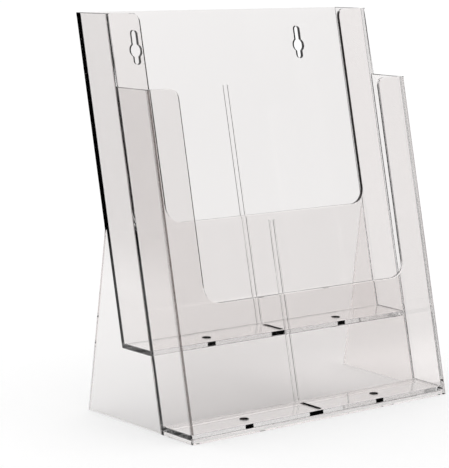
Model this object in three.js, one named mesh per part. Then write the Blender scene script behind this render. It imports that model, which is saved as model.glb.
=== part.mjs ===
// Two-tier A4 leaflet rack in clear plastic sheet, free standing or hung on a wall.
// Millimetres, +Z up, ground at z = 0, +X to the viewer's right, front face towards -Y.
// y is counted backwards from the front bottom corner, then the finished rack is centred.
import * as THREE from 'three';

// ---- Sheet ----
const SHEET = 2.8;
const GAP = 0.3;

// ---- Side profile (y backwards, z up) ----
const RACK_HEIGHT = 284.5;
const TIER_STEP = 50;
const FRONT_HEIGHT = RACK_HEIGHT - TIER_STEP;
const FRONT_LEAN = 12.45;
const REAR_LEAN = 12.8;
const MIDDLE_Y = 33.4;
const BACK_Y = 70.0;
const LEG_TOP_Z = 134;
const LEG_FOOT_Y = 121.7;

// ---- Floors ----
const FLOOR_UNDERSIDE = 2.5;
const REAR_FLOOR_Z = FLOOR_UNDERSIDE + TIER_STEP;
const SLOT_LENGTH = 20.4;
const SLOT_WIDTH = 3;
const PEG_HOLE_X = 60.3;
const PEG_HOLE_RADIUS = 3.2;

// ---- Width: the sides spread slightly towards the back ----
const FRONT_HALF_WIDTH = 117.5;
const SIDE_SPREAD = 0.0355;
const SPREAD_LEAN = 13;

// ---- U cut-outs in the front and middle plates ----
const CUT_HALF_WIDTH = 91;
const CUT_DEPTH = 145;
const CUT_CORNER = 12;
const STRIP_CORNER = 7;

// ---- Keyholes for hanging ----
const KEYHOLE_X = 75.7;
const KEYHOLE_Z = 256.3;
const KEYHOLE_RADIUS = 4.9;
const KEYHOLE_NECK = 2.5;
const KEYHOLE_TOP = 270.7;
const KEYHOLE_BOTTOM = 246.4;

// ---- Divider guide ribs ----
const RIB_PITCH = 4;
const RIB_WIDTH = 1;
const RIB_DEPTH = 1;
const RIB_GAP = 0.1;
const REAR_RIB_TOP = 229.4;
const FRONT_RIB_TOP = 134.7;

// ---- Smoothness of the round corners ----
const CURVE_SEGMENTS = 12;

const rad = THREE.MathUtils.degToRad;
const frontTan = Math.tan(rad(FRONT_LEAN));
const rearTan = Math.tan(rad(REAR_LEAN));
// Thickness of a leaning sheet measured level, front to back.
const frontRun = SHEET / Math.cos(rad(FRONT_LEAN));
const rearRun = SHEET / Math.cos(rad(REAR_LEAN));

// Front faces of the three leaning plates, and the rear face of the back plate.
const frontFaceY = (z) => frontTan * z;
const middleFaceY = (z) => MIDDLE_Y + rearTan * z;
const backOuterY = (z) => BACK_Y + rearTan * z;
const backFaceY = (z) => backOuterY(z) - rearRun;

// Outer half width of the rack at a point of the side profile.
function halfWidth(y, z) {
  const behindFront = y * Math.cos(rad(SPREAD_LEAN)) - z * Math.sin(rad(SPREAD_LEAN));
  return FRONT_HALF_WIDTH + SIDE_SPREAD * behindFront;
}

// Half width left for a sheet that stands between the two side panels.
function innerHalfWidth(y, z) {
  return halfWidth(y, z) - SHEET - GAP;
}

function clearPlastic() {
  const material = new THREE.MeshStandardMaterial({
    color: 0xe9e8e4,
    roughness: 0.06,
    metalness: 0,
    transparent: true,
    opacity: 0.3,
  });
  material.name = 'clear_plastic';
  return material;
}

function extrude(shape, depth) {
  return new THREE.ExtrudeGeometry(shape, {
    depth,
    bevelEnabled: false,
    curveSegments: CURVE_SEGMENTS,
    steps: 1,
  });
}

// Moves every vertex (a, b, c) of an extrusion to its place in the rack.
function place(geometry, toRack) {
  const position = geometry.getAttribute('position');
  for (let i = 0; i < position.count; i += 1) {
    const [x, y, z] = toRack(position.getX(i), position.getY(i), position.getZ(i));
    position.setXYZ(i, x, y, z);
  }
  geometry.computeVertexNormals();
  return geometry;
}

function namedMesh(name, geometry, material) {
  const mesh = new THREE.Mesh(geometry, material);
  mesh.name = name;
  return mesh;
}

// Side profile: two stepped pocket ends and the leg behind them, in one sheet.
function sideProfile() {
  const shape = new THREE.Shape();
  shape.moveTo(0, 0);
  shape.lineTo(LEG_FOOT_Y, 0);
  shape.lineTo(backOuterY(LEG_TOP_Z), LEG_TOP_Z);
  shape.lineTo(backOuterY(RACK_HEIGHT), RACK_HEIGHT);
  shape.lineTo(middleFaceY(RACK_HEIGHT), RACK_HEIGHT);
  shape.lineTo(middleFaceY(FRONT_HEIGHT), FRONT_HEIGHT);
  shape.lineTo(frontFaceY(FRONT_HEIGHT), FRONT_HEIGHT);
  shape.closePath();
  return shape;
}

function sidePanel(side) {
  const geometry = extrude(sideProfile(), SHEET);
  if (side > 0) {
    return place(geometry, (y, z, c) => [halfWidth(y, z) - SHEET + c, y, z]);
  }
  return place(geometry, (y, z, c) => [c - halfWidth(y, z), y, z]);
}

// Outline of a plate with a wide U cut from its top edge, leaving a strip each side.
function cutPlateShape(halfSpan, top) {
  const floor = top - CUT_DEPTH;
  const shape = new THREE.Shape();
  shape.moveTo(-halfSpan, 0);
  shape.lineTo(halfSpan, 0);
  shape.lineTo(halfSpan, top);
  shape.lineTo(CUT_HALF_WIDTH + STRIP_CORNER, top);
  shape.quadraticCurveTo(CUT_HALF_WIDTH, top, CUT_HALF_WIDTH, top - STRIP_CORNER);
  shape.lineTo(CUT_HALF_WIDTH, floor + CUT_CORNER);
  shape.absarc(CUT_HALF_WIDTH - CUT_CORNER, floor + CUT_CORNER, CUT_CORNER, 0, -Math.PI / 2, true);
  shape.lineTo(CUT_CORNER - CUT_HALF_WIDTH, floor);
  shape.absarc(CUT_CORNER - CUT_HALF_WIDTH, floor + CUT_CORNER, CUT_CORNER, -Math.PI / 2, -Math.PI, true);
  shape.lineTo(-CUT_HALF_WIDTH, top - STRIP_CORNER);
  shape.quadraticCurveTo(-CUT_HALF_WIDTH, top, -CUT_HALF_WIDTH - STRIP_CORNER, top);
  shape.lineTo(-halfSpan, top);
  shape.closePath();
  return shape;
}

function frontPlate() {
  const halfSpan = innerHalfWidth(frontFaceY(FRONT_HEIGHT), FRONT_HEIGHT);
  const geometry = extrude(cutPlateShape(halfSpan, FRONT_HEIGHT), frontRun);
  return place(geometry, (x, z, c) => [x, frontFaceY(z) + frontRun - c, z]);
}

function middlePlate() {
  const halfSpan = innerHalfWidth(middleFaceY(RACK_HEIGHT), RACK_HEIGHT);
  const geometry = extrude(cutPlateShape(halfSpan, RACK_HEIGHT), rearRun);
  return place(geometry, (x, z, c) => [x, middleFaceY(z) + rearRun - c, z]);
}

// Round hole with a narrow neck above for the screw shank and a short one below.
function keyhole(x) {
  const reach = Math.sqrt(KEYHOLE_RADIUS ** 2 - KEYHOLE_NECK ** 2);
  const turn = Math.atan2(reach, KEYHOLE_NECK);
  const path = new THREE.Path();
  path.moveTo(x + KEYHOLE_NECK, KEYHOLE_Z + reach);
  path.lineTo(x + KEYHOLE_NECK, KEYHOLE_TOP - KEYHOLE_NECK);
  path.absarc(x, KEYHOLE_TOP - KEYHOLE_NECK, KEYHOLE_NECK, 0, Math.PI, false);
  path.lineTo(x - KEYHOLE_NECK, KEYHOLE_Z + reach);
  path.absarc(x, KEYHOLE_Z, KEYHOLE_RADIUS, Math.PI - turn, Math.PI + turn, false);
  path.lineTo(x - KEYHOLE_NECK, KEYHOLE_BOTTOM + KEYHOLE_NECK);
  path.absarc(x, KEYHOLE_BOTTOM + KEYHOLE_NECK, KEYHOLE_NECK, Math.PI, 2 * Math.PI, false);
  path.lineTo(x + KEYHOLE_NECK, KEYHOLE_Z - reach);
  path.absarc(x, KEYHOLE_Z, KEYHOLE_RADIUS, -turn, turn, false);
  return path;
}

function backPlate() {
  const halfSpan = innerHalfWidth(backFaceY(RACK_HEIGHT), RACK_HEIGHT);
  const shape = new THREE.Shape();
  shape.moveTo(-halfSpan, REAR_FLOOR_Z);
  shape.lineTo(halfSpan, REAR_FLOOR_Z);
  shape.lineTo(halfSpan, RACK_HEIGHT);
  shape.lineTo(-halfSpan, RACK_HEIGHT);
  shape.closePath();
  shape.holes.push(keyhole(-KEYHOLE_X), keyhole(KEYHOLE_X));
  const geometry = extrude(shape, rearRun);
  return place(geometry, (x, z, c) => [x, backOuterY(z) - c, z]);
}

// Level floor between two leaning plates, with a divider slot and two peg holes.
// Only its front and back edges lean: the slot and the holes go straight down.
function pocketFloor(underside, startY, endY, startLean, endLean) {
  const mid = (startY + endY) / 2;
  const startHalf = innerHalfWidth(startY, underside + SHEET);
  const endHalf = innerHalfWidth(endY, underside + SHEET);
  const shape = new THREE.Shape();
  shape.moveTo(-startHalf, startY);
  shape.lineTo(startHalf, startY);
  shape.lineTo(endHalf, endY);
  shape.lineTo(-endHalf, endY);
  shape.closePath();
  shape.holes.push(dividerSlot(mid), pegHole(-PEG_HOLE_X, mid), pegHole(PEG_HOLE_X, mid));
  const edgeLean = (y) => {
    if (Math.abs(y - mid) <= SLOT_LENGTH / 2 + GAP) return 0;
    return y < mid ? startLean : endLean;
  };
  const geometry = extrude(shape, SHEET);
  return place(geometry, (x, y, c) => [x, y + edgeLean(y) * c, underside + c]);
}

function dividerSlot(midY) {
  const half = SLOT_WIDTH / 2;
  const path = new THREE.Path();
  path.moveTo(-half, midY - SLOT_LENGTH / 2);
  path.lineTo(half, midY - SLOT_LENGTH / 2);
  path.lineTo(half, midY + SLOT_LENGTH / 2);
  path.lineTo(-half, midY + SLOT_LENGTH / 2);
  path.closePath();
  return path;
}

function pegHole(x, y) {
  const path = new THREE.Path();
  path.absarc(x, y, PEG_HOLE_RADIUS, 0, Math.PI * 2, false);
  return path;
}

function rearFloor() {
  const startY = middleFaceY(REAR_FLOOR_Z) + rearRun + GAP;
  const endY = backFaceY(REAR_FLOOR_Z) - GAP;
  return pocketFloor(REAR_FLOOR_Z, startY, endY, rearTan, rearTan);
}

function frontFloor() {
  const startY = frontFaceY(FLOOR_UNDERSIDE) + frontRun + GAP;
  const endY = middleFaceY(FLOOR_UNDERSIDE) - GAP;
  return pocketFloor(FLOOR_UNDERSIDE, startY, endY, frontTan, rearTan);
}

// Thin strip standing proud of a leaning plate, from the pocket floor upwards.
function guideRib(x, faceY, bottom, top) {
  const shape = new THREE.Shape();
  shape.moveTo(x - RIB_WIDTH / 2, bottom);
  shape.lineTo(x + RIB_WIDTH / 2, bottom);
  shape.lineTo(x + RIB_WIDTH / 2, top);
  shape.lineTo(x - RIB_WIDTH / 2, top);
  shape.closePath();
  const geometry = extrude(shape, RIB_DEPTH);
  return place(geometry, (a, z, c) => [a, faceY(z) - RIB_GAP - c, z]);
}

function addRibs(rack, tier, faceY, floorZ, top, material) {
  const bottom = floorZ + SHEET + GAP;
  const left = guideRib(-RIB_PITCH / 2, faceY, bottom, top);
  const right = guideRib(RIB_PITCH / 2, faceY, bottom, top);
  rack.add(namedMesh(`${tier}_rib_left`, left, material));
  rack.add(namedMesh(`${tier}_rib_right`, right, material));
}

// Centres the rack front to back so that the origin is under its middle.
function centreDepth(rack) {
  const shift = -backOuterY(RACK_HEIGHT) / 2;
  rack.children.forEach((mesh) => mesh.geometry.translate(0, shift, 0));
}

function buildRack() {
  const rack = new THREE.Group();
  rack.name = 'leaflet_rack';
  const plastic = clearPlastic();
  rack.add(namedMesh('side_panel_left', sidePanel(-1), plastic));
  rack.add(namedMesh('side_panel_right', sidePanel(1), plastic));
  rack.add(namedMesh('back_plate', backPlate(), plastic));
  rack.add(namedMesh('middle_plate', middlePlate(), plastic));
  rack.add(namedMesh('front_plate', frontPlate(), plastic));
  rack.add(namedMesh('rear_floor', rearFloor(), plastic));
  rack.add(namedMesh('front_floor', frontFloor(), plastic));
  addRibs(rack, 'rear', backFaceY, REAR_FLOOR_Z, REAR_RIB_TOP, plastic);
  addRibs(rack, 'front', middleFaceY, FLOOR_UNDERSIDE, FRONT_RIB_TOP, plastic);
  centreDepth(rack);
  return rack;
}

export default buildRack();
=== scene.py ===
import math

import bmesh
import bpy
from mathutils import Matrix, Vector
from mathutils.bvhtree import BVHTree


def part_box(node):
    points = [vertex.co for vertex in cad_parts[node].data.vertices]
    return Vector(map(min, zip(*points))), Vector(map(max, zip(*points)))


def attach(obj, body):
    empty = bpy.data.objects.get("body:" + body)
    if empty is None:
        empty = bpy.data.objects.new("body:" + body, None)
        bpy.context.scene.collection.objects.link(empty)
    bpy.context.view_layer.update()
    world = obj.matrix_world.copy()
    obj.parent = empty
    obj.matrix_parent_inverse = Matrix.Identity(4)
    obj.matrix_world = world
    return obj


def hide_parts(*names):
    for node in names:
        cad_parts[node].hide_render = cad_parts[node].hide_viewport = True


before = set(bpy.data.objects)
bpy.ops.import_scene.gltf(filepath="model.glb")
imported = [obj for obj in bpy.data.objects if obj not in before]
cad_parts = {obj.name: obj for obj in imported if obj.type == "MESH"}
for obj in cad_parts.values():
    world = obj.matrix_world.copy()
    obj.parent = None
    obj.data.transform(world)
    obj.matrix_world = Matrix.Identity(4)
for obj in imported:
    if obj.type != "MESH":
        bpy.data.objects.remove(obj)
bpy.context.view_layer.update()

# ---- Camera, at the photograph's viewing angle ----
CAMERA_AT = Vector((-0.7821, -0.9839, 0.3202))
CAMERA_AZIMUTH = math.radians(37.03)
CAMERA_DROP = math.radians(8.89)
LENS_MM = 134.330769
SENSOR_MM = 36.0
CLIP_START = 0.05
CLIP_END = 100.0

# ---- Pieces ----
SIDES = ["side_panel_left", "side_panel_right"]
PLATES = ["back_plate", "middle_plate", "front_plate"]
FLOORS = ["rear_floor", "front_floor"]
RIBS = ["rear_rib_left", "rear_rib_right", "front_rib_left", "front_rib_right"]

# ---- Plastic ----
PLASTIC_IOR = 1.49
PLASTIC_TINT = (0.991, 0.973, 0.968, 1.0)
ABSORPTION = 4.5
RIPPLE_SCALE = 30.0
RIPPLE_DETAIL = 1.0
RIPPLE_HEIGHT = 0.0004
RIPPLE_STRENGTH = 0.1
HAZE = 0.01
HAZE_BAND = (0.3, 0.7)
CLOUD = 0.995
BLACK = (0.0, 0.0, 0.0, 1.0)
WHITE = (1.0, 1.0, 1.0, 1.0)

# ---- Sockets of the node that mixes two colours ----
MIX_SHARE = 0
MIX_FIRST = 6
MIX_SECOND = 7
MIX_RESULT = 2

# ---- Painted shade and finish: the colours, and the share of the light that a wall takes from inside ----
# Painted shade: near-black on the walls of keyholes, floor holes and slot, the middle plate's
# cut-out walls, the side panels' tops and the top of the right front corner
PAINTED_SHADE_TINT = (0.0004, 0.0002, 0.0002, 1.0)
# Painted shade, dark, in the fillet of the left front inner corner
FILLET_PAINTED_SHADE_TINT = (0.1, 0.08, 0.075, 1.0)
# Painted shade, grey, on the rounded right front corner of the lower pocket
CORNER_PAINTED_SHADE_TINT = (0.5, 0.45, 0.43, 1.0)
# Painted shade: the hole walls that take this share are black from inside
HOLE_PAINTED_SHADE_LOSS = 1.0
FLOOR_LOSS = 0.08

# ---- Joints of the moulding: how far the copies reach into their neighbours ----
BITE = 0.0009
RIB_BITE = 0.0004
END_X = 0.1

# ---- Clean-up of the copies ----
SAME_PLACE = 1e-6
TINY_EDGE = 5e-6
FLAT_ANGLE = math.radians(0.5)
EDGE_ANGLE = math.radians(40)
ROUND_PROFILE = 0.5
STRAIGHT = 0.9

# ---- Rounded rims of the cut-outs, keyholes and floor holes ----
RIM_REACH = 0.099
RIM_LOWEST = 0.02
RIM_SEGMENTS = 4
CUT_RIM = 0.0008
KEYHOLE_RIM = 0.0002
HOLE_RIM = 0.0002
HOLE_REACH = 0.07

# ---- Rounded tops and upright corners of the side panels ----
TOP_LOWEST = 0.2
TOP_RIM = 0.0004
FRONT_CORNER_LENGTH = 0.15
CORNER_RADIUS = 0.0015
UPPER_CORNER_LENGTH = 0.04
UPPER_CORNER_RADIUS = 0.0019
CORNER_SEGMENTS = 6

# ---- Fillets in the inner corners ----
FILLET_RADIUS = 0.0009
FILLET_STEPS = 5
FILLET_BITE = 0.0004
FILLET_SHORTEST = 0.02
FILLET_SMALLEST_FACE = 2e-5
FILLET_SETBACK = 0.00025

# ---- Where each finish and each painted shade goes: places in metres, and parts of a face's direction ----
LEVEL = 0.95
HOLE_MARGIN = 0.002
KEYHOLE_REACH = 0.085
KEYHOLE_HEIGHTS = (0.24, 0.272)
TURNED = 0.15
CUT_OUT_ENDS = (-0.0915, 0.0925)
UPRIGHT = 0.8
CUT_OUT_TURNED = 0.3
UPWARD = 0.3
INNER_CORNER_X = -0.11
INNER_CORNER_LOWEST = 0.006
INNER_CORNER_BACKWARD = 0.97
OUTER_CORNER = (0.1, 0.98)
FRONT_TOP = 0.2345

# ---- Floor of the studio, a light table ----
FLOOR_SIZE = 60.0
FLOOR_LEVEL = -0.0003
FLOOR_COLOUR = (0.5, 0.5, 0.5, 1.0)
FLOOR_ROUGHNESS = 0.9
FLOOR_GLOW = 0.5
FLOOR_GLOW_BEHIND = 0.42
# Painted light: glowing patches on the floor under the rack, where its shade falls
POCKET_GLOW = 0.2
POCKET_X = 0.117
POCKET_Y = (-0.068, -0.033)
POCKET_FADE = 0.004
RIGHT_GLOW = 0.16
RIGHT_X = (0.0, 0.1)
RIGHT_Y = (0.02, 0.14)

# ---- Cards: name, start, end, height and strength ----
CARDS = (
    ("studio_card_left", (-0.45, -0.5), (-0.45, 0.6), 0.6, 1.0),
    ("studio_card_front", (-0.45, -0.5), (0.5, -0.5), 1.2, 0.3),
    ("studio_card_right", (0.5, -0.5), (0.5, 0.25), 0.6, 0.1),
)
CARD_FADE = 0.06
CARD_COLOUR = (0.005, 0.005, 0.005, 1.0)
MIRRORED = 0.5

# ---- Sky of the studio, by the upward and backward parts of a ray's direction ----
SKY_RISE = (0.25, 0.42)
SKY_BACK = (-0.2, 0.5)
ROOM_LIGHT = 0.03
OVERHEAD_LIGHT = 1.15
BACKDROP_LIGHT = 0.95
DIMMED_BEHIND = 0.92

# ---- Light bounces through the stacked sheets ----
BOUNCES = 44
MIRROR_BOUNCES = 28
CLEAR_BOUNCES = 20


def node_tree(name):
    """A new material with an empty node tree and its output."""
    material = bpy.data.materials.new(name)
    material.use_nodes = True
    tree = material.node_tree
    for node in list(tree.nodes):
        tree.nodes.remove(node)
    output = tree.nodes.new("ShaderNodeOutputMaterial")
    return material, tree, output


def clear_plastic(name, tint_and_painted_shade, wall_loss=0.0, only_mirrored=False):
    """Clear plastic that darkens light by its way through it; the dark colours given for walls,
    corners and fillets are painted shade.

    wall_loss is the share of the light that the surface takes from inside, and with
    only_mirrored it takes that share only of the light that it mirrors.
    """
    material, tree, output = node_tree(name)
    shader = tree.nodes.new("ShaderNodeBsdfPrincipled")
    ripple = tree.nodes.new("ShaderNodeTexNoise")
    ripple.inputs["Scale"].default_value = RIPPLE_SCALE
    ripple.inputs["Detail"].default_value = RIPPLE_DETAIL
    place = tree.nodes.new("ShaderNodeTexCoord")
    tree.links.new(place.outputs["Object"], ripple.inputs["Vector"])
    bump = tree.nodes.new("ShaderNodeBump")
    bump.inputs["Strength"].default_value = RIPPLE_STRENGTH
    bump.inputs["Distance"].default_value = RIPPLE_HEIGHT
    tree.links.new(ripple.outputs["Fac"], bump.inputs["Height"])
    tree.links.new(bump.outputs["Normal"], shader.inputs["Normal"])
    haze = ease(tree, ripple.outputs["Fac"], *HAZE_BAND, 0.0, HAZE)
    tree.links.new(haze, shader.inputs["Roughness"])
    shade = tree.nodes.new("ShaderNodeMix")
    shade.data_type = "RGBA"
    shade.inputs[MIX_FIRST].default_value = tint_and_painted_shade
    shade.inputs[MIX_SECOND].default_value = tuple(part * CLOUD for part in tint_and_painted_shade[:3]) + (1.0,)
    tree.links.new(ripple.outputs["Fac"], shade.inputs[MIX_SHARE])
    tree.links.new(shade.outputs[MIX_RESULT], shader.inputs["Base Color"])
    shader.inputs["IOR"].default_value = PLASTIC_IOR
    shader.inputs["Transmission Weight"].default_value = 1.0
    black = tree.nodes.new("ShaderNodeBsdfDiffuse")
    black.inputs["Color"].default_value = BLACK
    path = tree.nodes.new("ShaderNodeLightPath")
    surface = tree.nodes.new("ShaderNodeNewGeometry")
    left = maths(tree, "POWER", math.exp(-ABSORPTION), path.outputs["Ray Length"])
    if only_mirrored:
        fresnel = tree.nodes.new("ShaderNodeFresnel")
        fresnel.inputs["IOR"].default_value = PLASTIC_IOR
        wall_loss = maths(tree, "MULTIPLY", fresnel.outputs["Fac"], wall_loss)
    kept = maths(tree, "SUBTRACT", 1.0, wall_loss)
    left = maths(tree, "MULTIPLY", left, kept)
    lost = maths(tree, "SUBTRACT", 1.0, left)
    lost = maths(tree, "MULTIPLY", lost, surface.outputs["Backfacing"])
    mix = tree.nodes.new("ShaderNodeMixShader")
    tree.links.new(lost, mix.inputs["Fac"])
    tree.links.new(shader.outputs["BSDF"], mix.inputs[1])
    tree.links.new(black.outputs["BSDF"], mix.inputs[2])
    tree.links.new(mix.outputs["Shader"], output.inputs["Surface"])
    return material


def maths(tree, operation, first, second):
    """One sum of two values, each a number or a socket."""
    node = tree.nodes.new("ShaderNodeMath")
    node.operation = operation
    for slot, value in enumerate((first, second)):
        if isinstance(value, (int, float)):
            node.inputs[slot].default_value = value
        else:
            tree.links.new(value, node.inputs[slot])
    return node.outputs[0]


def ease(tree, value, start, end, low=0.0, high=1.0):
    """low up to start, high from end, and a smooth step between them."""
    node = tree.nodes.new("ShaderNodeMapRange")
    node.interpolation_type = "SMOOTHSTEP"
    tree.links.new(value, node.inputs["Value"])
    node.inputs["From Min"].default_value = start
    node.inputs["From Max"].default_value = end
    node.inputs["To Min"].default_value = low
    node.inputs["To Max"].default_value = high
    return node.outputs["Result"]


def position(tree):
    """The place that is shaded, as the sockets X, Y and Z."""
    place = tree.nodes.new("ShaderNodeNewGeometry")
    split = tree.nodes.new("ShaderNodeSeparateXYZ")
    tree.links.new(place.outputs["Position"], split.inputs[0])
    return split.outputs


def pocket_painted_light(tree, x, y):
    """Painted light: extra glow on the floor under the front pocket's floor, where little other
    light comes.
    """
    near, far = POCKET_Y
    side = maths(tree, "ABSOLUTE", x, 0.0)
    patch = ease(tree, side, POCKET_X - POCKET_FADE, POCKET_X, POCKET_GLOW, 0.0)
    front = ease(tree, y, near, near + POCKET_FADE)
    back = ease(tree, y, far - POCKET_FADE, far, 1.0, 0.0)
    patch = maths(tree, "MULTIPLY", patch, front)
    return maths(tree, "MULTIPLY", patch, back)


def right_painted_light(tree, x, y):
    """Painted light: extra glow on the floor behind the right half, for light that the camera
    does not see directly.
    """
    start = POCKET_Y[1]
    patch = ease(tree, x, *RIGHT_X, 0.0, RIGHT_GLOW)
    front = ease(tree, y, start - POCKET_FADE, start)
    back = ease(tree, y, *RIGHT_Y, 1.0, 0.0)
    patch = maths(tree, "MULTIPLY", patch, front)
    return maths(tree, "MULTIPLY", patch, back)


def floor_material():
    """A pale light table: it glows a little as well as scattering the light, and patches of
    painted light lift it under the rack.
    """
    material, tree, output = node_tree("pale_floor")
    shader = tree.nodes.new("ShaderNodeBsdfPrincipled")
    shader.inputs["Base Color"].default_value = FLOOR_COLOUR
    shader.inputs["Roughness"].default_value = FLOOR_ROUGHNESS
    shader.inputs["Specular IOR Level"].default_value = 0.0
    shader.inputs["Emission Color"].default_value = WHITE
    path = tree.nodes.new("ShaderNodeLightPath")
    seen = path.outputs["Is Camera Ray"]
    place = position(tree)
    glow = ease(tree, seen, 0.0, 1.0, FLOOR_GLOW_BEHIND, FLOOR_GLOW)
    # painted light: glowing patches on the floor under the rack
    glow = maths(tree, "ADD", glow, pocket_painted_light(tree, place["X"], place["Y"]))
    unseen = maths(tree, "SUBTRACT", 1.0, seen)
    right = maths(tree, "MULTIPLY", right_painted_light(tree, place["X"], place["Y"]), unseen)
    glow = maths(tree, "ADD", glow, right)
    tree.links.new(glow, shader.inputs["Emission Strength"])
    tree.links.new(shader.outputs["BSDF"], output.inputs["Surface"])
    return material


def card_material(name, strength):
    """Black card that only mirrored light finds, so that it hides nothing else."""
    material, tree, output = node_tree(name)
    black = tree.nodes.new("ShaderNodeBsdfDiffuse")
    black.inputs["Color"].default_value = CARD_COLOUR
    clear = tree.nodes.new("ShaderNodeBsdfTransparent")
    path = tree.nodes.new("ShaderNodeLightPath")
    mix = tree.nodes.new("ShaderNodeMixShader")
    mirrored = maths(tree, "GREATER_THAN", path.outputs["Glossy Depth"], MIRRORED)
    faded = ease(tree, position(tree)["Z"], 0.0, CARD_FADE, 0.0, strength)
    tree.links.new(maths(tree, "MULTIPLY", mirrored, faded), mix.inputs["Fac"])
    tree.links.new(clear.outputs["BSDF"], mix.inputs[1])
    tree.links.new(black.outputs["BSDF"], mix.inputs[2])
    tree.links.new(mix.outputs["Shader"], output.inputs["Surface"])
    return material


def stage_quad(name, corners, material):
    """A flat four-sided piece of the studio."""
    mesh = bpy.data.meshes.new(name)
    mesh.from_pydata(corners, [], [(0, 1, 2, 3)])
    mesh.materials.append(material)
    quad = bpy.data.objects.new(name, mesh)
    bpy.context.scene.collection.objects.link(quad)


def make_set():
    """The floor and the cards."""
    half = FLOOR_SIZE / 2
    outline = ((-half, -half), (half, -half), (half, half), (-half, half))
    stage_quad("studio_floor", [(*corner, FLOOR_LEVEL) for corner in outline], floor_material())
    for name, start, end, high, strength in CARDS:
        corners = [(*start, 0.0), (*end, 0.0), (*end, high), (*start, high)]
        stage_quad(name, corners, card_material(name, strength))


def make_world():
    """Soft light from above, a pale backdrop behind and a dark room in front."""
    world = bpy.data.worlds.new("studio")
    bpy.context.scene.world = world
    world.use_nodes = True
    tree = world.node_tree
    background = tree.nodes["Background"]
    coords = tree.nodes.new("ShaderNodeTexCoord")
    split = tree.nodes.new("ShaderNodeSeparateXYZ")
    tree.links.new(coords.outputs["Generated"], split.inputs["Vector"])
    height = split.outputs["Z"]
    overhead = ease(tree, height, *SKY_RISE, ROOM_LIGHT, OVERHEAD_LIGHT)
    behind = ease(tree, split.outputs["Y"], *SKY_BACK)
    low = ease(tree, height, *SKY_RISE, BACKDROP_LIGHT, 0.0)
    path = tree.nodes.new("ShaderNodeLightPath")
    dimmed = ease(tree, path.outputs["Is Camera Ray"], 0.0, 1.0, DIMMED_BEHIND, 1.0)
    low = maths(tree, "MULTIPLY", low, dimmed)
    light = maths(tree, "ADD", overhead, maths(tree, "MULTIPLY", behind, low))
    tree.links.new(light, background.inputs["Strength"])
    background.inputs["Color"].default_value = WHITE


def make_camera():
    """The camera of the main view."""
    data = bpy.data.cameras.new("camera")
    camera = bpy.data.objects.new("camera", data)
    bpy.context.scene.collection.objects.link(camera)
    data.sensor_width = SENSOR_MM
    data.lens = LENS_MM
    data.clip_start = CLIP_START
    data.clip_end = CLIP_END
    ahead = Vector((
        math.sin(CAMERA_AZIMUTH) * math.cos(CAMERA_DROP),
        math.cos(CAMERA_AZIMUTH) * math.cos(CAMERA_DROP),
        -math.sin(CAMERA_DROP),
    ))
    camera.location = CAMERA_AT
    camera.rotation_mode = "QUATERNION"
    camera.rotation_quaternion = ahead.to_track_quat("-Z", "Y")
    bpy.context.scene.camera = camera


def copy_of(node, move):
    """A copy of a CAD node's mesh, each vertex moved by move(place)."""
    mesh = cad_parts[node].data.copy()
    copy = bpy.data.objects.new("work_" + node, mesh)
    bpy.context.scene.collection.objects.link(copy)
    work = bmesh.new()
    work.from_mesh(mesh)
    bmesh.ops.remove_doubles(work, verts=work.verts, dist=SAME_PLACE)
    for vert in work.verts:
        vert.co = move(vert.co.copy())
    for face in work.faces:
        face.smooth = False
    bmesh.ops.recalc_face_normals(work, faces=work.faces)
    work.to_mesh(mesh)
    work.free()
    mesh.materials.clear()
    return copy


def same(place):
    """Leaves a vertex where it is."""
    return place


def widened(place):
    """Moves a plate's two ends outwards, into the side panels."""
    if abs(place.x) > END_X:
        place.x += math.copysign(BITE, place.x)
    return place


def rib_move(place):
    """Moves a rib backwards, into its plate."""
    return place + Vector((0, RIB_BITE, 0))


def floor_move(node):
    """A move of a floor's four corners outwards, into the panels and the plates."""
    low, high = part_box(node)
    middle = (low.y + high.y) / 2

    def move(place):
        if abs(place.x) > END_X:
            place.x += math.copysign(BITE, place.x)
            place.y += math.copysign(BITE, place.y - middle)
        return place

    return move


def union(target, tool):
    """Joins tool to target as one closed body and removes tool."""
    modifier = target.modifiers.new("join", "BOOLEAN")
    modifier.operation = "UNION"
    modifier.solver = "MANIFOLD"
    modifier.object = tool
    bpy.context.view_layer.objects.active = target
    bpy.ops.object.modifier_apply(modifier=modifier.name)
    bpy.data.objects.remove(tool)


def round_edges(body, choose, radius, segments):
    """Rounds the sharp edges that choose(edge) picks."""
    work = bmesh.new()
    work.from_mesh(body.data)
    bmesh.ops.dissolve_degenerate(work, dist=TINY_EDGE, edges=work.edges)
    bmesh.ops.dissolve_limit(work, angle_limit=FLAT_ANGLE, verts=work.verts, edges=work.edges)
    sharp = [edge for edge in work.edges if edge.calc_face_angle(0.0) > EDGE_ANGLE]
    picked = [edge for edge in sharp if choose(edge)]
    bmesh.ops.bevel(
        work, geom=picked, offset=radius, offset_type="OFFSET", segments=segments,
        profile=ROUND_PROFILE, affect="EDGES", clamp_overlap=False,
    )
    bmesh.ops.triangulate(work, faces=work.faces)
    work.to_mesh(body.data)
    work.free()


def in_cutout(edge):
    """True on the rims of a plate's U-shaped cut-out and of its keyholes."""
    inside = all(abs(vert.co.x) < RIM_REACH and vert.co.z > RIM_LOWEST for vert in edge.verts)
    return inside and any(abs(face.normal.y) > STRAIGHT for face in edge.link_faces)


def upright_corner(edge):
    """True on a panel's outer corner between its front edge and its outer face."""
    out = sum(face.normal.x for face in edge.link_faces)
    front = min(face.normal.y for face in edge.link_faces) < -STRAIGHT
    outer = max(abs(face.normal.x) for face in edge.link_faces) > STRAIGHT
    return front and outer and edge.verts[0].co.x * out > 0


def front_corner(edge):
    """True on the upright corners of the lower pocket."""
    return upright_corner(edge) and edge.calc_length() > FRONT_CORNER_LENGTH


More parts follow.
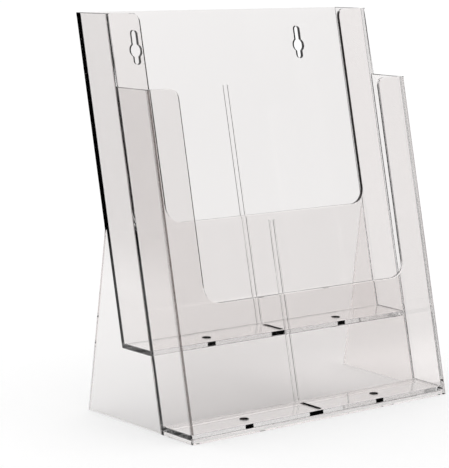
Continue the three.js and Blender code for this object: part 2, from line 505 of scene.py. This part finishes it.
def upper_corner(edge):
    """True on the right upright corner of the upper pocket."""
    on_right = edge.verts[0].co.x > 0
    right_length = UPPER_CORNER_LENGTH < edge.calc_length() < FRONT_CORNER_LENGTH
    return upright_corner(edge) and on_right and right_length


def panel_top(edge):
    """A side panel's top edges, which are polished round."""
    if min(vert.co.z for vert in edge.verts) < TOP_LOWEST:
        return False
    flat = [abs(face.normal.z) > STRAIGHT for face in edge.link_faces]
    return any(flat) and not all(flat)


def floor_hole(edge):
    """True on the rims of a floor's holes and slot."""
    return all(abs(vert.co.x) < HOLE_REACH for vert in edge.verts)


def side_panel(name):
    """A side panel with its tops and its upright front corners rounded."""
    panel = copy_of(name, same)
    round_edges(panel, panel_top, TOP_RIM, RIM_SEGMENTS)
    round_edges(panel, front_corner, CORNER_RADIUS, CORNER_SEGMENTS)
    round_edges(panel, upper_corner, UPPER_CORNER_RADIUS, CORNER_SEGMENTS)
    return panel


def plate(name):
    """A leaning plate with the rims of its cut-outs rounded."""
    sheet = copy_of(name, widened)
    rim = KEYHOLE_RIM if name == "back_plate" else CUT_RIM
    round_edges(sheet, in_cutout, rim, RIM_SEGMENTS)
    return sheet


def pocket_floor(name):
    """A pocket's floor with the rims of its holes rounded."""
    sheet = copy_of(name, floor_move(name))
    round_edges(sheet, floor_hole, HOLE_RIM, RIM_SEGMENTS)
    return sheet


def needs_fillet(edge):
    """True on a long, sharp inner corner between two large faces, outside the cut-outs."""
    if not edge.is_manifold or edge.is_convex or edge.calc_face_angle(0.0) < EDGE_ANGLE:
        return False
    if min(face.calc_area() for face in edge.link_faces) < FILLET_SMALLEST_FACE:
        return False
    outside = any(abs(vert.co.x) >= RIM_REACH for vert in edge.verts)
    return edge.calc_length() >= FILLET_SHORTEST and outside


def inner_corners(body):
    """The long inner corners, each as its two ends and its two faces' directions."""
    work = bmesh.new()
    work.from_mesh(body.data)
    bmesh.ops.dissolve_degenerate(work, dist=SAME_PLACE, edges=work.edges)
    bmesh.ops.dissolve_limit(work, angle_limit=FLAT_ANGLE, verts=work.verts, edges=work.edges)
    found = []
    for edge in work.edges:
        if not needs_fillet(edge):
            continue
        start, end = (vert.co.copy() for vert in edge.verts)
        along = (end - start).normalized()
        sides = []
        for face in edge.link_faces:
            away = face.normal.cross(along)
            centre = sum((loop.vert.co for loop in face.loops), Vector()) / len(face.loops)
            inside = centre - (start + end) / 2
            sides.append((away if away.dot(inside) > 0 else -away, face.normal.copy()))
        found.append((start, end, sides))
    work.free()
    return found


def fillet(start, end, sides):
    """A bar with one hollow side that fills an inner corner."""
    (first, first_up), (second, second_up) = sides
    setback = (end - start).normalized() * FILLET_SETBACK
    start = start + setback
    end = end - setback
    profile = []
    for step in range(FILLET_STEPS + 1):
        share = step / FILLET_STEPS
        before = first * FILLET_RADIUS * (1 - share) ** 2
        profile.append(before + second * FILLET_RADIUS * share ** 2)
    profile.append(second * FILLET_RADIUS - second_up * FILLET_BITE)
    profile.append(-(first_up + second_up) * FILLET_BITE)
    profile.append(first * FILLET_RADIUS - first_up * FILLET_BITE)
    count = len(profile)
    verts = [start + point for point in profile] + [end + point for point in profile]
    faces = [tuple(range(count)), tuple(range(2 * count - 1, count - 1, -1))]
    for this in range(count):
        following = (this + 1) % count
        faces.append((following, this, this + count, following + count))
    mesh = bpy.data.meshes.new("fillet")
    mesh.from_pydata(verts, [], faces)
    bar = bpy.data.objects.new("fillet", mesh)
    bpy.context.scene.collection.objects.link(bar)
    work = bmesh.new()
    work.from_mesh(mesh)
    bmesh.ops.triangulate(work, faces=work.faces)
    bmesh.ops.recalc_face_normals(work, faces=work.faces)
    work.to_mesh(mesh)
    work.free()
    return bar


def moulding():
    """All the CAD nodes joined into one closed body, with fillets in the inner corners."""
    left, right = (side_panel(name) for name in SIDES)
    whole = left
    union(whole, right)
    for name in PLATES:
        union(whole, plate(name))
    for name in FLOORS:
        union(whole, pocket_floor(name))
    for name in RIBS:
        union(whole, copy_of(name, rib_move))
    for start, end, sides in inner_corners(whole):
        union(whole, fillet(start, end, sides))
    whole.data.materials.clear()
    return whole


def make_finishes_and_painted_shade():
    """The plastic's materials by their short names: clear plastic, level faces that mirror a
    little less, and painted shade on dark walls, tops, corners and a fillet.
    """
    return {
        "clear": clear_plastic("clear_plastic", PLASTIC_TINT),
        # painted shade: the hole, cut, corner and inner kinds; the floor kind mirrors a little
        # less
        "hole": clear_plastic("clear_plastic_hole_painted_shade", PAINTED_SHADE_TINT, HOLE_PAINTED_SHADE_LOSS),
        "cut": clear_plastic("clear_plastic_cut_painted_shade", PAINTED_SHADE_TINT),
        "corner": clear_plastic("clear_plastic_corner_painted_shade", CORNER_PAINTED_SHADE_TINT),
        "floor": clear_plastic("clear_plastic_floor", PLASTIC_TINT, FLOOR_LOSS, True),
        "inner": clear_plastic("clear_plastic_fillet_painted_shade", FILLET_PAINTED_SHADE_TINT),
    }


def floor_finish_and_painted_shade(name, place, facing):
    """Painted shade, near-black, on the walls of a floor's holes and slot, and level faces that
    mirror a little less.
    """
    low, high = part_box(name)
    if abs(facing.z) > LEVEL:
        return "floor"
    inside = low.y + HOLE_MARGIN < place.y < high.y - HOLE_MARGIN
    # painted shade, near-black, on the walls of the holes and slot
    return "hole" if inside and abs(place.x) < HOLE_REACH else "clear"


def back_plate_painted_shade(place, facing):
    """Painted shade on the keyholes' walls: near-black, and those that face right also black
    from inside.
    """
    low, high = KEYHOLE_HEIGHTS
    if abs(facing.y) > STRAIGHT or abs(place.x) > KEYHOLE_REACH or not low < place.z < high:
        return "clear"
    # painted shade: keyhole walls near-black, and black from inside where they face right
    return "hole" if facing.x > TURNED else "cut"


def middle_plate_painted_shade(place, facing):
    """Painted shade, near-black, on the upright walls of the cut-out, and on the right on its
    rounded rims as well.
    """
    left, right = CUT_OUT_ENDS
    # painted shade, near-black, on the cut-out's walls
    if left < place.x < 0 and abs(facing.x) > UPRIGHT:
        return "cut"
    if 0 < place.x < right and facing.x < -CUT_OUT_TURNED:
        return "cut"
    return "clear"


def in_left_front_corner(place, facing):
    """True on the fillet between the left side panel and the front plate."""
    if place.x > INNER_CORNER_X or place.z < INNER_CORNER_LOWEST:
        return False
    return facing.x > TURNED and TURNED < facing.y < INNER_CORNER_BACKWARD


def on_outer_corner(facing):
    """True on the rounding between a panel's front edge and its right face."""
    low, high = OUTER_CORNER
    return low < facing.x < high and facing.y < -low


def finish_and_painted_shade_of(name, face):
    """The short name of the finish on one face of the fused body; all but the clear and floor
    kinds are painted shade.
    """
    place = face.calc_center_median()
    facing = face.normal
    if name in FLOORS:
        return floor_finish_and_painted_shade(name, place, facing)
    if name == "back_plate":
        return back_plate_painted_shade(place, facing)
    if name == "middle_plate":
        return middle_plate_painted_shade(place, facing)
    # painted shade in the fillet of the left front inner corner
    if name in ("side_panel_left", "front_plate") and in_left_front_corner(place, facing):
        return "inner"
    # painted shade, near-black, on the side panels' tops
    if name in SIDES and facing.z > UPWARD and place.z > TOP_LOWEST:
        return "cut"
    # painted shade on the rounded right front corner: near-black at its top, grey below
    if name == "side_panel_right" and on_outer_corner(facing):
        return "cut" if place.z > FRONT_TOP else "corner"
    return "clear"


def distance_to(surface, place):
    """How far a place is from a surface."""
    *_, distance = surface.find_nearest(place)
    return distance


def nearest_nodes(whole):
    """For each face of the fused body, the name of the CAD node that it lies nearest to."""
    surfaces = {}
    for name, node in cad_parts.items():
        work = bmesh.new()
        work.from_mesh(node.data)
        surfaces[name] = BVHTree.FromBMesh(work)
        work.free()
    owners = []
    for face in whole.data.polygons:
        owners.append(min(surfaces, key=lambda name: distance_to(surfaces[name], face.center)))
    return owners


def make_piece(whole, name, owners, finishes_and_painted_shade):
    """The part of the fused body that belongs to one CAD node, with its materials, painted
    shade among them.
    """
    mesh = whole.data.copy()
    work = bmesh.new()
    work.from_mesh(mesh)
    others = [face for face, owner in zip(work.faces, owners) if owner != name]
    bmesh.ops.delete(work, geom=others, context="FACES")
    kinds = [finish_and_painted_shade_of(name, face) for face in work.faces]
    used = [kind for kind in finishes_and_painted_shade if kind in kinds]
    for face, kind in zip(work.faces, kinds):
        face.material_index = used.index(kind)
    work.to_mesh(mesh)
    work.free()
    for kind in used:
        mesh.materials.append(finishes_and_painted_shade[kind])
    piece = bpy.data.objects.new("clear_" + name, mesh)
    bpy.context.scene.collection.objects.link(piece)
    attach(piece, "root")
    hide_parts(name)


def make_rack():
    """The rack: one fused body, cut along the CAD nodes into its pieces."""
    whole = moulding()
    owners = nearest_nodes(whole)
    finishes_and_painted_shade = make_finishes_and_painted_shade()
    for name in list(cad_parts):
        make_piece(whole, name, owners, finishes_and_painted_shade)
    bpy.data.objects.remove(whole)


make_rack()
make_set()
make_world()
make_camera()
bpy.context.scene.view_settings.view_transform = "Standard"
bpy.context.scene.cycles.max_bounces = BOUNCES
bpy.context.scene.cycles.glossy_bounces = MIRROR_BOUNCES
bpy.context.scene.cycles.transmission_bounces = CLEAR_BOUNCES
